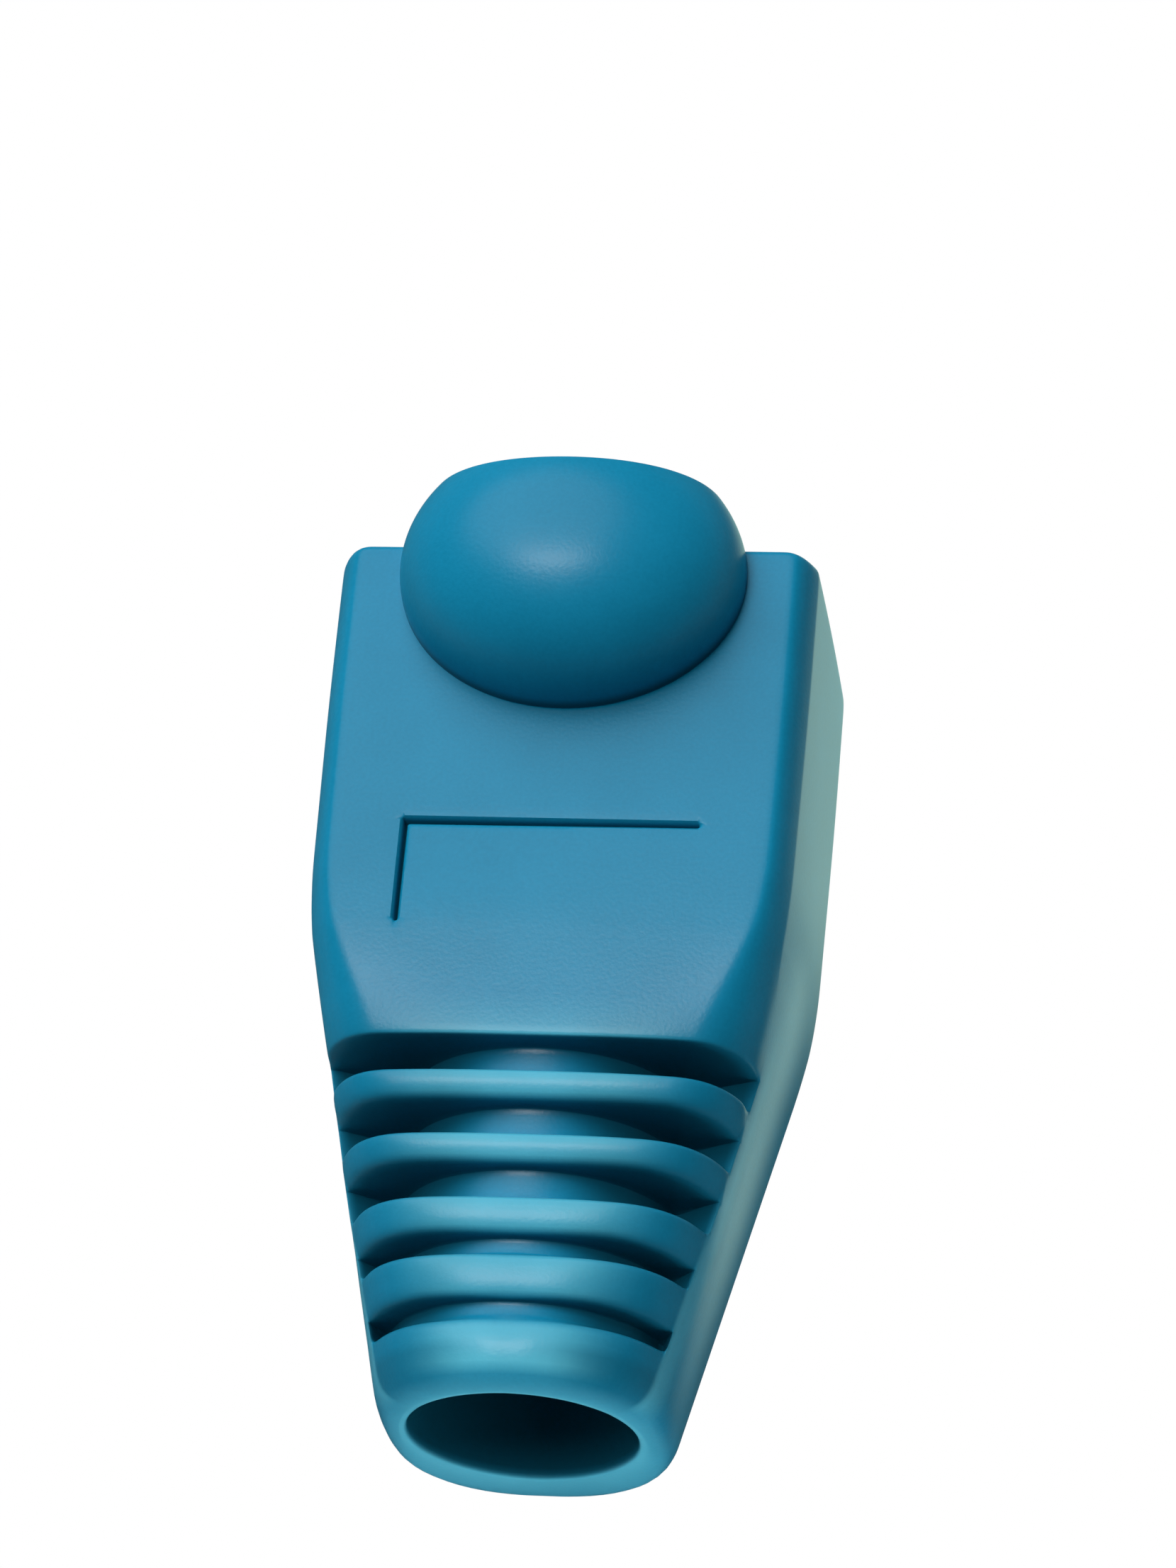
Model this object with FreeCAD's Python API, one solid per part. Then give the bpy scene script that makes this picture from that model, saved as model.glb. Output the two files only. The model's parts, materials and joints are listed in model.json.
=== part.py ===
import FreeCAD, Part
import math
import os

# Strain relief boot for an RJ45 patch lead, one moulding in flexible PVC.
# The cable leaves through the round bore. The rear of the plug pushes into the mouth,
# and the hood on top covers the tip of the plug's latch so that it cannot snag.
# Frame: bore axis along Y, origin where the cable leaves, +Y to the plug, +Z the latch side.
# All values are in millimetres.

# What the boot fits
plug_width = 11.68
plug_height = 8.0
plug_clearance = 0.06
latch_width = 6.2
latch_clearance = 0.2
cable_diameter = 6.4
cable_clearance = 0.05

# Walls
side_wall = 1.1
cap_wall = 0.84
tube_wall = 0.75
hood_wall = 0.85

# Lengths along the boot
mouth_y = 25.5
shoulder_y = 14.0
socket_depth = 11.0
bore_length = 10.6

# Outer section from the mouth to the shoulder
socket_mid_z = 0.1
bevel_inset = 0.64
bevel_drop = 0.97
bevel_bulge = 0.06
body_foot_radius = 1.0
body_crown = 0.12

# Outer section at the start of the rounded lip where the cable leaves
end_width = 8.6
end_top_z = 4.2
end_corner_radius = 3.4
end_foot_radius = 3.0
end_crown = 0.05
lip_length = 0.9
lip_inset = 0.72

# Rounded and eased edges
mouth_rounding = 0.3
rib_rounding = 0.3
socket_corner = 0.5
lead_in = 0.3

# Grooves across the tail, counted from the cable end
groove_pitch = 1.86
first_groove_y = 2.18
groove_widths = (0.6, 0.6, 1.0, 1.0, 1.0)
web_half_height = 1.0

# Shallow panel in the top face
panel_width = 8.46
panel_length = 3.16
panel_mid_y = 15.08
panel_depth = 0.28

# Latch hood
hood_half_width = 5.02
hood_half_length = 4.2
hood_height = 3.6
hood_mid_y = 24.42
hood_front_y = 26.65
hood_squareness = 2.4
latch_slot_length = 4.2

# Worked out from the values above
socket_width = plug_width + 2 * plug_clearance
socket_height = plug_height + 2 * plug_clearance
body_width = socket_width + 2 * side_wall
body_top_z = socket_mid_z + socket_height / 2 + cap_wall
body_bottom_z = socket_mid_z - socket_height / 2 - cap_wall
bore_radius = cable_diameter / 2 + cable_clearance
tube_radius = bore_radius + tube_wall
latch_slot_width = latch_width + 2 * latch_clearance
socket_end_y = mouth_y - socket_depth

# Construction values
clear_of = 1.0
quarter_arc_bulge = 1 - math.sqrt(0.5)
lip_steps = 3
hood_levels = 8
hood_crown_turn = math.radians(86)


def vector(x, y, z):
    return FreeCAD.Vector(x, y, z)


def line(start, end, y):
    return Part.makeLine(vector(start[0], y, start[1]), vector(end[0], y, end[1]))


def arc(start, end, bulge, y):
    # Arc between two (x, z) points, met anticlockwise, that stands out by bulge at its middle.
    run_x = end[0] - start[0]
    run_z = end[1] - start[1]
    run = math.hypot(run_x, run_z)
    mid_x = (start[0] + end[0]) / 2 + bulge * run_z / run
    mid_z = (start[1] + end[1]) / 2 - bulge * run_x / run
    ends = (vector(start[0], y, start[1]), vector(mid_x, y, mid_z), vector(end[0], y, end[1]))
    return Part.Arc(*ends).toShape()


def blend(at_end, at_shoulder, y):
    # Value at y of a size that tapers in a straight line from the shoulder to the lip.
    share = (y - lip_length) / (shoulder_y - lip_length)
    share = min(max(share, 0), 1)
    return at_end + (at_shoulder - at_end) * share


def foot_half_width(y):
    # Half width of the flat underside.
    half_width = blend(end_width, body_width, y) / 2
    return half_width - blend(end_crown, body_crown, y) - blend(end_foot_radius, body_foot_radius, y)


def outer_section(y, shrink=0):
    # Outside of the boot at y, drawn in by shrink: flat top and foot, crowned sides, shaped corners.
    crown = blend(end_crown, body_crown, y)
    inset = blend(end_corner_radius, bevel_inset, y)
    drop = blend(end_corner_radius, bevel_drop, y)
    bulge = blend(end_corner_radius * quarter_arc_bulge, bevel_bulge, y)
    foot_radius = blend(end_foot_radius, body_foot_radius, y)
    top_z = blend(end_top_z, body_top_z, y) - shrink
    side_x = blend(end_width, body_width, y) / 2 - crown - shrink
    bottom_z = body_bottom_z + shrink
    top_x = side_x - inset
    foot_x = side_x - foot_radius
    side_top = top_z - drop
    side_foot = bottom_z + foot_radius
    foot_bulge = foot_radius * quarter_arc_bulge
    return Part.Wire([
        line((-foot_x, bottom_z), (foot_x, bottom_z), y),
        arc((foot_x, bottom_z), (side_x, side_foot), foot_bulge, y),
        arc((side_x, side_foot), (side_x, side_top), crown, y),
        arc((side_x, side_top), (top_x, top_z), bulge, y),
        line((top_x, top_z), (-top_x, top_z), y),
        arc((-top_x, top_z), (-side_x, side_top), bulge, y),
        arc((-side_x, side_top), (-side_x, side_foot), crown, y),
        arc((-side_x, side_foot), (-foot_x, bottom_z), foot_bulge, y),
    ])


def eased(y, inward, rounding):
    # Three sections that round an edge at y; inward is the direction into the material.
    halfway = rounding * quarter_arc_bulge
    return [
        outer_section(y, rounding),
        outer_section(y + inward * halfway, halfway),
        outer_section(y + inward * rounding),
    ]


def fin(y_low, y_high):
    # A rib across the tail, both edges rounded.
    sections = eased(y_low, 1, rib_rounding) + eased(y_high, -1, rib_rounding)[::-1]
    return Part.makeLoft(sections, True, True)


def groove_limits():
    limits = []
    for index, width in enumerate(groove_widths):
        middle = first_groove_y + index * groove_pitch
        limits.append((middle - width / 2, middle + width / 2))
    return limits


def sleeve(y_low):
    # The part from the last groove to the mouth.
    sections = eased(y_low, 1, rib_rounding)
    sections.append(outer_section(shoulder_y))
    sections += eased(mouth_y, -1, mouth_rounding)[::-1]
    return Part.makeLoft(sections, True, True)


def collar(y_high):
    # The part from the cable end to the first groove, with its rounded lip.
    sections = []
    for step in range(lip_steps + 1):
        turn = math.pi / 2 * step / lip_steps
        sections.append(outer_section(lip_length * (1 - math.cos(turn)), lip_inset * (1 - math.sin(turn))))
    sections += eased(y_high, -1, rib_rounding)[::-1]
    return Part.makeLoft(sections, True, True)


def web(y_low, y_high):
    # What is left beside the tube where a groove passes: both sides and the foot, below web height.
    taper = Part.makeLoft([outer_section(y_low), outer_section(y_high)], True, True)
    side = body_width
    lower = Part.makeBox(2 * side, y_high - y_low, side, vector(-side, y_low, web_half_height - side))
    return taper.common(lower)


def tube(y_low, y_high):
    return Part.makeCylinder(tube_radius, y_high - y_low, vector(0, y_low, 0), vector(0, 1, 0))


def foot_groove(y_low, y_high):
    # Groove in the underside, closed at both sides, as deep as the tube allows.
    half_width = foot_half_width((y_low + y_high) / 2)
    depth = -web_half_height - body_bottom_z + clear_of
    corner_at = vector(-half_width, y_low, body_bottom_z - clear_of)
    block = Part.makeBox(2 * half_width, y_high - y_low, depth, corner_at)
    return block.cut(tube(y_low - clear_of, y_high + clear_of))


def rounded_rectangle(y, width, height, mid_z, radius):
    x = width / 2
    top = mid_z + height / 2
    bottom = mid_z - height / 2
    bulge = radius * quarter_arc_bulge
    return Part.Wire([
        line((-x + radius, bottom), (x - radius, bottom), y),
        arc((x - radius, bottom), (x, bottom + radius), bulge, y),
        line((x, bottom + radius), (x, top - radius), y),
        arc((x, top - radius), (x - radius, top), bulge, y),
        line((x - radius, top), (-x + radius, top), y),
        arc((-x + radius, top), (-x, top - radius), bulge, y),
        line((-x, top - radius), (-x, bottom + radius), y),
        arc((-x, bottom + radius), (-x + radius, bottom), bulge, y),
    ])


def socket_section(y, grow=0):
    width = socket_width + 2 * grow
    height = socket_height + 2 * grow
    return rounded_rectangle(y, width, height, socket_mid_z, socket_corner)


def rectangle(y, width, height, mid_z):
    corners = [(-1, -1), (1, -1), (1, 1), (-1, 1), (-1, -1)]
    return Part.makePolygon([vector(x * width / 2, y, mid_z + z * height / 2) for x, z in corners])


def passage():
    # Everything that the plug and cable fill: plug socket with lead-in, tapered throat and round bore.
    socket = Part.makeLoft([
        socket_section(socket_end_y),
        socket_section(mouth_y - lead_in),
        socket_section(mouth_y, lead_in),
        socket_section(mouth_y + clear_of, lead_in),
    ], True, True)
    bore_width = 2 * bore_radius
    throat = Part.makeLoft([
        rectangle(bore_length, bore_width, bore_width, 0),
        rectangle(socket_end_y, socket_width - socket_corner, socket_height - socket_corner, socket_mid_z),
    ], True, True)
    bore = Part.makeCylinder(bore_radius, bore_length + clear_of, vector(0, -clear_of, 0), vector(0, 1, 0))
    return socket.fuse([throat, bore])


def dome(half_width, half_length, height):
    # Half egg on the top face: ellipses that close up towards the crown along a squared quarter curve.
    levels = []
    for step in range(hood_levels + 1):
        turn = hood_crown_turn * step / hood_levels
        share = math.cos(turn) ** (2 / hood_squareness)
        rise = height * math.sin(turn) ** (2 / hood_squareness)
        middle = vector(0, hood_mid_y, body_top_z + rise)
        levels.append(Part.Wire([Part.Ellipse(middle, share * half_width, share * half_length).toShape()]))
    return Part.makeLoft(levels, True)


def ribbed_tail_and_sleeve():
    grooves = groove_limits()
    pieces = [collar(grooves[0][0]), tube(grooves[0][0] - clear_of, grooves[-1][1] + clear_of)]
    for below, above in zip(grooves, grooves[1:]):
        pieces.append(fin(below[1], above[0]))
    for y_low, y_high in grooves:
        pieces.append(web(y_low - rib_rounding, y_high + rib_rounding))
    shape = sleeve(grooves[-1][1]).fuse(pieces)
    return shape.cut([foot_groove(y_low, y_high) for y_low, y_high in grooves])


def hood():
    # The half egg is cut off square in front of the mouth, where it is open.
    egg = dome(hood_half_width, hood_half_length, hood_height)
    size = body_width
    front_part = Part.makeBox(size, size, size, vector(-size / 2, hood_front_y, body_top_z))
    return egg.cut(front_part)


def latch_space():
    # Room for the latch under the hood and through the top wall below it.
    inner = dome(hood_half_width - hood_wall, hood_half_length - hood_wall, hood_height - hood_wall)
    slot_corner = vector(-latch_slot_width / 2, mouth_y - latch_slot_length, socket_mid_z)
    slot_length = latch_slot_length + clear_of
    slot = Part.makeBox(latch_slot_width, slot_length, body_top_z - socket_mid_z, slot_corner)
    return inner, slot


def panel():
    corner_at = vector(-panel_width / 2, panel_mid_y - panel_length / 2, body_top_z - panel_depth)
    return Part.makeBox(panel_width, panel_length, clear_of, corner_at)


def boot():
    shape = ribbed_tail_and_sleeve().fuse(hood())
    shape = shape.cut([passage(), panel(), *latch_space()])
    return shape.removeSplitter()


os.makedirs("parts", exist_ok=True)
boot().exportStep("parts/boot.step")
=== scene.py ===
# %% [markdown]
# # A moulded strain relief boot
#
# This lesson dresses a small part: the soft plastic boot that slides over the rear of a
# network plug. Its sleeve grips the plug, a hood covers the tip of the plug's latch, and a
# ribbed tail lets the cable bend gently. The real one is a single moulding, so here it is a
# single mesh too. The sizes come from the engineering model, which is loaded first.

# %% Load the engineering model
import json
import math
from collections import namedtuple

import bmesh
import bpy
import numpy as np
from mathutils import Matrix, Vector


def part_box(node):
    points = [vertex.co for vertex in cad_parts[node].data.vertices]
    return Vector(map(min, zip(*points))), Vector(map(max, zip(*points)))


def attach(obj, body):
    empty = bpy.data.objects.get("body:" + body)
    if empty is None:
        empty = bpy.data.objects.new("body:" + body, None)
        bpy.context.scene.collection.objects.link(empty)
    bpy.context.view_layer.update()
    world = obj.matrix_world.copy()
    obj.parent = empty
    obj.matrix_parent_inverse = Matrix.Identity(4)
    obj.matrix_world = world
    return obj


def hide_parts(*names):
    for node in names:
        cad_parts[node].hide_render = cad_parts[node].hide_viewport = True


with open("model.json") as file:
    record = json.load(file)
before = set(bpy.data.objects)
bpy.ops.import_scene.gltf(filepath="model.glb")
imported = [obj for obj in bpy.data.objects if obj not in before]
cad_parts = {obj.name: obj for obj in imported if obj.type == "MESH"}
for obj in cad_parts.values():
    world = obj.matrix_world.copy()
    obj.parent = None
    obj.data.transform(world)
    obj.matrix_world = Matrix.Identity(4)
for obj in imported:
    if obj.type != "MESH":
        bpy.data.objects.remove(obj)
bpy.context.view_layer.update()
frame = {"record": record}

# %% [markdown]
# ## Sizes
#
# Small mouldings are easier to think about in millimetres, so the shapes are worked out in
# millimetres and are turned into metres only when a mesh is made. The outside limits are read
# from the model's box, and the bore and the mouth from its mounts. The other sizes are the
# moulding's own, and each is named where it is first needed.

# %% Read the sizes
MM = 0.001
box_low, box_high = (np.array(corner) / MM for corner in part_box("boot"))
mounts = {mount["name"]: mount for mount in frame["record"]["mounts"]}
bore_radius = mounts["cable_bore"]["dims"]["r_mm"]
bore_length = mounts["cable_bore"]["dims"]["length_mm"]
mouth_y = mounts["plug_socket"]["pos_m"][1] / MM
socket_mid_z = mounts["plug_socket"]["pos_m"][2] / MM
body_half_width = box_high[0]
foot_z = box_low[2]
hood_front_y = box_high[1]
crown_z = box_high[2]
print("mouth at", round(mouth_y, 2), "bore radius", bore_radius, "length", bore_length)
print("half width", round(body_half_width, 3), "foot at", round(foot_z, 3), "crown at", round(crown_z, 3))

# %% [markdown]
# ## The camera
#
# The camera looks down on the boot from high up, slightly to the right of the tail, and is
# rolled, so that the boot runs down the view. A long lens keeps the perspective mild. The
# camera could be placed with three bare rotations, but azimuth and elevation round a point on
# the axis are easier to adjust.

# %% Place the camera
camera_azimuth = math.radians(18.73)
camera_elevation = math.radians(62.13)
camera_roll = math.radians(15.6)
camera_distance = 188.0
camera_lens = 148.0
aim = Vector((0.115, 20.337, 0.0))

towards_camera = Vector((
    math.sin(camera_azimuth) * math.cos(camera_elevation),
    -math.cos(camera_azimuth) * math.cos(camera_elevation),
    math.sin(camera_elevation),
))
camera = bpy.data.objects.new("camera", bpy.data.cameras.new("camera"))
bpy.context.scene.collection.objects.link(camera)
camera.data.sensor_width = 36.0
camera.data.lens = camera_lens
camera.data.clip_start = 0.01
camera.data.clip_end = 10.0
turn = towards_camera.to_track_quat("Z", "Y").to_matrix().to_4x4()
turn = turn @ Matrix.Rotation(-camera_roll, 4, "Z")
camera.matrix_world = Matrix.Translation((aim + towards_camera * camera_distance) * MM) @ turn
bpy.context.scene.camera = camera
print("camera at", [round(value, 4) for value in camera.matrix_world.translation])

# %% [markdown]
# ## The outside as rings
#
# The body is a tube with a changing outline, so it is built the way a modeller would loft it:
# one closed ring of points for each place along the boot, all with the same number of points,
# joined by quads. A subdivision surface then rounds the cage, and two rings or columns close
# together keep an edge tight. Boxes and cylinders joined by booleans would be quicker to
# write, but they leave hard edges, and a moulding has none.
#
# One ring runs from the middle of the top, round the right side, to the middle of the foot,
# and the left side is its mirror image. The sizes of the ring taper in a straight line from
# the shoulder to the lip where the cable leaves.

# %% Taper and arc helpers
shoulder_y = 14.0
shoulder_softness = 1.8
lip_y = 0.9
quarter_arc_bulge = 1 - math.sqrt(0.5)


def blend(at_lip, at_shoulder, y):
    """A straight taper from the lip to the shoulder, with a soft bend at the shoulder."""
    before = shoulder_y - max(y, lip_y)
    if abs(before) < shoulder_softness:
        before = (before + shoulder_softness) ** 2 / (4 * shoulder_softness)
    return at_shoulder + (at_lip - at_shoulder) * max(before, 0.0) / (shoulder_y - lip_y)


def smooth_step(value):
    value = min(max(value, 0.0), 1.0)
    return value * value * (3.0 - 2.0 * value)


def arc(start, end, bulge, shares):
    """Points at the given shares of an arc from start to end that stands out by bulge."""
    start, end = np.array(start, float), np.array(end, float)
    run = end - start
    length = np.hypot(*run)
    along = run / length
    outward = np.array([-along[1], along[0]])
    radius = (length * length / 4 + bulge * bulge) / (2 * bulge)
    half_turn = math.asin(min(1.0, length / 2 / radius))
    turns = -half_turn + 2 * half_turn * np.array(shares)
    middle = (start + end) / 2 - outward * (radius - bulge)
    return middle + radius * (np.outer(np.sin(turns), along) + np.outer(np.cos(turns), outward))


print("half way along the taper:", round(blend(0.0, 1.0, (lip_y + shoulder_y) / 2), 3))

# %% Columns of a ring
panel_mid_y = 15.08
panel_half_length = 1.58
panel_half_width = 4.23
panel_high, panel_low = panel_mid_y + panel_half_length, panel_mid_y - panel_half_length
line_width = 0.09
edge_hold, inner_hold, outer_hold = 0.02, 0.15, 0.14

# Across the top, as shares of its half width; beside the panel its edges come between.
free_top = np.array([0, .12, .24, .36, .46, .54, .61, .67, .73, .79, .85, .9, .95, 1.0])
panel_floor_shares = np.array([0, .14, .28, .42, .53])
panel_edges = panel_half_width + np.array([
    -line_width - inner_hold, -line_width - edge_hold, -line_width, -edge_hold, 0.0, outer_hold])
beyond_panel_shares = np.array([.82, .945, 1.0])
# Down the corner and the side, on the sleeve and then on the tail, as shares of their lengths.
corner_shares = np.array([.1, .22, .36, .5, .64, .78, .93, 1.0])
rib_shares = np.array([.12, .25, .38, .51, .64, .77, .9])
side_shares = np.array([.02, .10, .22, .35, .48, .61, .74, .87, .95, 1.0])
rail_shares = np.array([.14, .28, .42, .56, .7, .82, .92, 1.0])
# Round the lower corner and in to the middle of the foot.
foot_corner_shares = np.array([.16, .33, .5, .67, .84, 1.0])
foot_edges = np.array([.15, .18, .34])
foot_shares = np.array([.75, .5, .25, 0.0])

corner_column = len(free_top) - 1
side_column = corner_column + len(corner_shares) + len(side_shares)
foot_column = side_column + len(foot_corner_shares)
columns = foot_column + len(foot_edges) + len(foot_shares) + 1
rail_column = corner_column + len(rib_shares) + 2
print("columns on one side:", columns)

# %% Columns across the top
panel_margin = 0.4
panel_fade = 1.4


def top_columns(top_x, y):
    """Places across the flat top. Beside the panel they line up with its edges."""
    in_panel = np.concatenate([panel_floor_shares * top_x, panel_edges, beyond_panel_shares * top_x])
    past = max(y - panel_high, panel_low - y)
    weight = 1.0 - smooth_step((past - panel_margin) / panel_fade)
    return weight * in_panel + (1.0 - weight) * free_top * top_x


print("edge columns:", [round(float(x), 2) for x in panel_edges])

# %% Columns down the corner and the side
fine_steps = 60
rail_z = 2.1
rail_hold = 0.12
ribbed_from_y = 13.3
ribbed_run = 2.6


def side_line(start, pull, end, side_foot, crown):
    """A finely divided line: the corner from start to end, then the crowned side."""
    share = np.linspace(0, 1, fine_steps + 1)[:, None]
    corner = (1 - share) ** 2 * start + 2 * share * (1 - share) * pull + share ** 2 * end
    side_x, side_top = end
    heights = np.linspace(side_top, side_foot, fine_steps)[1:]
    middle, half = (side_top + side_foot) / 2, (side_top - side_foot) / 2
    side = np.stack([side_x + crown * (1 - ((heights - middle) / half) ** 2), heights], 1)
    return np.concatenate([corner, side])


def side_columns(line, y):
    """The columns' points on that line. On the tail three of them hold the rail's edge."""
    along = np.concatenate([[0.0], np.cumsum(np.hypot(*np.diff(line, axis=0).T))])
    corner_length, full_length = along[fine_steps], along[-1]
    rail = np.interp(-rail_z, -line[:, 1], along)
    plain = np.concatenate([
        corner_length * corner_shares, corner_length + (full_length - corner_length) * side_shares])
    ribbed = np.concatenate([
        rail * rib_shares, [rail - rail_hold, rail, rail + rail_hold],
        rail + rail_hold + (full_length - rail - rail_hold) * rail_shares])
    weight = smooth_step((ribbed_from_y - y) / ribbed_run)
    places = (1 - weight) * plain + weight * ribbed
    return np.stack([np.interp(places, along, line[:, 0]), np.interp(places, along, line[:, 1])], 1)


print("columns down the side:", len(corner_shares) + len(side_shares))

# %% Sizes that taper, each at the lip and at the shoulder
body_top_z = 5.0
half_widths = (4.22, body_half_width)
top_heights = (4.2, body_top_z)
side_crowns = (0.05, 0.12)
corner_runs = (3.4, 0.64)
corner_drops = (3.4, 0.97)
pulls_across = (0.915, 0.55)
pulls_down = (0.085, 0.10)
foot_radii = (3.0, 1.0)
print("the tail narrows to", round(half_widths[0] / half_widths[1], 2), "of the sleeve")

# %% Half of an outer ring
crown_loss, crown_loss_run = 0.09, 8.0
arch_rise, arch_from_y, arch_run = 0.045, 13.0, 4.0
foot_inset_share = 0.1


def outer_half(y, inset=0.0, pinch=0.0):
    """The outline (x, z) of the right half at y, drawn in by inset, from top to foot.

    The sides alone can be drawn in further, by pinch.
    """
    crown = blend(*side_crowns, y) - crown_loss * smooth_step((y - shoulder_y) / crown_loss_run)
    corner_run, corner_drop = blend(*corner_runs, y), blend(*corner_drops, y)
    foot_radius = blend(*foot_radii, y)
    top_z = blend(*top_heights, y) - inset
    side_x = blend(*half_widths, y) - crown - inset - pinch
    bottom_z = foot_z + foot_inset_share * inset
    top_x, foot_x = side_x - corner_run, side_x - foot_radius
    side_top, side_foot = top_z - corner_drop, bottom_z + foot_radius
    arch = arch_rise * top_x * smooth_step((arch_from_y - y) / arch_run)

    start, end = np.array((top_x, top_z - arch)), np.array((side_x, side_top))
    pull = start + np.array((blend(*pulls_across, y) * corner_run, -blend(*pulls_down, y) * corner_drop))
    down = side_columns(side_line(start, pull, end, side_foot, crown), y)

    across = top_columns(top_x, y)
    top = np.stack([across, top_z - arch * (across / top_x) ** 3], 1)
    foot_bulge = foot_radius * quarter_arc_bulge
    foot_corner = arc((side_x, side_foot), (foot_x, bottom_z), foot_bulge, foot_corner_shares)
    inner_x = foot_x - foot_edges[-1]
    foot = np.concatenate([foot_x - foot_edges, inner_x * foot_shares])
    return np.concatenate([top, down, foot_corner, np.stack([foot, np.full(len(foot), bottom_z)], 1)])


print("half ring at the shoulder:", len(outer_half(shoulder_y)), "points")

# %% [markdown]
# ## Grooves
#
# Five grooves cross the tail. Each is cut down to the round tube that holds the cable, and
# stops at the side rails, which run the whole length and keep the tail from stretching. In a
# groove the ring therefore has another outline: the tube above, a ledge on each rail, and the
# same side below. The foot has shorter grooves of its own at the same places.
#
# The ribs between the grooves are not square. Their edge towards the mouth is tight, and
# their edge towards the cable is a generous quarter round. A bevel modifier could make the
# rounds, but it would also run round the ends of the grooves, so each round is made by three
# rings of its own.

# %% Half of a groove ring
tube_wall = 0.75
tube_radius = bore_radius + tube_wall
ledge_z = 1.0
ledge_start_x = math.sqrt(tube_radius ** 2 - ledge_z ** 2)
ledge_start_turn = math.atan2(ledge_z, ledge_start_x)
ledge_climb = np.array([.14, .5, .86])
over_tube = slice(0, rail_column - len(ledge_climb))
on_ledge = slice(over_tube.stop, rail_column)
sunk_foot_x = 3.87


def floor_half(y):
    """The outline (x, z) of the right half at y in a groove."""
    half = outer_half(y)
    polar = np.arctan2(half[over_tube, 1], half[over_tube, 0])
    share = (polar - polar[-1]) / (math.pi / 2 - polar[-1])
    turns = ledge_start_turn + share * (math.pi / 2 - ledge_start_turn)
    half[over_tube] = np.stack([np.cos(turns), np.sin(turns)], 1) * tube_radius
    half[on_ledge, 0] = ledge_start_x + (half[rail_column, 0] - ledge_start_x) * ledge_climb
    half[on_ledge, 1] = ledge_z + (rail_z - ledge_z) * ledge_climb
    sunk = half[foot_column + 1:]
    reach = np.minimum(sunk[:, 0], sunk_foot_x)
    sunk[:, 1] = -np.sqrt(tube_radius ** 2 - reach ** 2)
    return half


print("tube radius:", tube_radius, "ledge from x", round(ledge_start_x, 2))

# %% A ring on a groove's wall
no_depth = 1e-6


def wall_half(y, offset, from_top):
    """A ring on a groove's wall, offset from its top or from its bottom edge."""
    top, bottom = outer_half(y), floor_half(y)
    depth = np.maximum(np.hypot(*(bottom - top).T), no_depth)
    step = 1 / (1 + depth / offset)
    share = (step if from_top else 1 - step)[:, None]
    return top + (bottom - top) * share


print("wall of a groove at y 6:", len(wall_half(6.0, 0.2, True)), "points")

# %% [markdown]
# ## Wear, painted highlights and painted shade on the rings
#
# The crests of the ribs and the lip are made paler: partly wear from handling, partly a
# painted highlight. The depths of the grooves get painted shade. Both could be painted on an
# image, but an image needs an unwrapped mesh, so each ring carries two numbers instead: how
# much paler it is made, and how much painted shade it gets, at the middle of the top and at
# the sides. Later they become two values on each point, which the finish reads.

# %% What a ring holds
# Its place, its half outline, its wear and painted highlight, its painted shade and whether it is on the
# outside.
Ring = namedtuple("Ring", "y half rubbed dark outer")

# Wear and painted highlight at a rib's crest and at the three rings of its round.
cable_side_wear_and_highlight = (0.8, 0.9, 0.3, 0.0)
shoulder_wear_and_highlight = (0.3,) + cable_side_wear_and_highlight[1:]
mouth_side_wear_and_highlight = (1.0, 0.9, 0.5, 0.1)
# Painted shade (in the middle, at the sides) from the first ring of the round down to the floor.
crest_gloom = (0, 0.2)
cable_side_gloom = ((0, 0.3), (0.1, 0.5), (0.5, 0.8), (0.9, 1), (1, 1), (0.3, 1))
mouth_side_gloom = ((0, 0.2), (0, 0.3), (0.1, 0.5), (0.1, 0.9), (0.1, 0.9), (0.0, 0.9))
print("a ring holds:", ", ".join(Ring._fields))

# %% Rings of one wall
round_turns = (30, 60, 90)
round_hold = 0.06
wall_hold = 0.16
wall_draft = 0.03
floor_hold = 0.14
fillet_start = 0.4
fillet_looseness = 5


def wall_rings(edge, side, radius, fillet, width, wear_and_highlight, painted_shade):
    """The rings from a rib's top down to the floor. Side is 1 if the rib lies towards the mouth."""
    start = edge + side * radius
    hold_y = start + side * round_hold
    rings = [Ring(hold_y, outer_half(hold_y), wear_and_highlight[0], crest_gloom, True)]
    for turn, rubbed, dark in zip(round_turns, wear_and_highlight[1:], painted_shade):
        lean = math.radians(turn)
        y = edge + side * radius * (1 - math.sin(lean))
        rings.append(Ring(y, wall_half(y, radius * (1 - math.cos(lean)), True), rubbed, dark, True))
    hold_y = edge - side * (wall_draft + fillet_start * fillet)
    hold = wall_hold / (1 + fillet_looseness * fillet)
    rings.append(Ring(hold_y, wall_half(hold_y, hold, False), 0.0, painted_shade[3], True))
    floor_y = edge - side * (wall_draft + fillet)
    rings.append(Ring(floor_y, floor_half(floor_y), 0.0, painted_shade[4], True))
    floor_y -= side * min(floor_hold, width / 4)
    rings.append(Ring(floor_y, floor_half(floor_y), 0.0, painted_shade[5], True))
    return rings


print("a wall has", 1 + len(round_turns) + 3, "rings")

# %% Rings of one groove
groove_pitch = 1.86
first_groove_y = 2.18
groove_widths = (0.6, 0.6, 1.0, 1.0, 1.0)
cable_side_rounds = (0.36, 0.36, 0.38, 0.38, 0.1)
mouth_side_rounds = (0.5, 0.28, 0.2, 0.18, 0.16)
fillets = (0.2, 0.08, 0.0, 0.0, 0.0)


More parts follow.
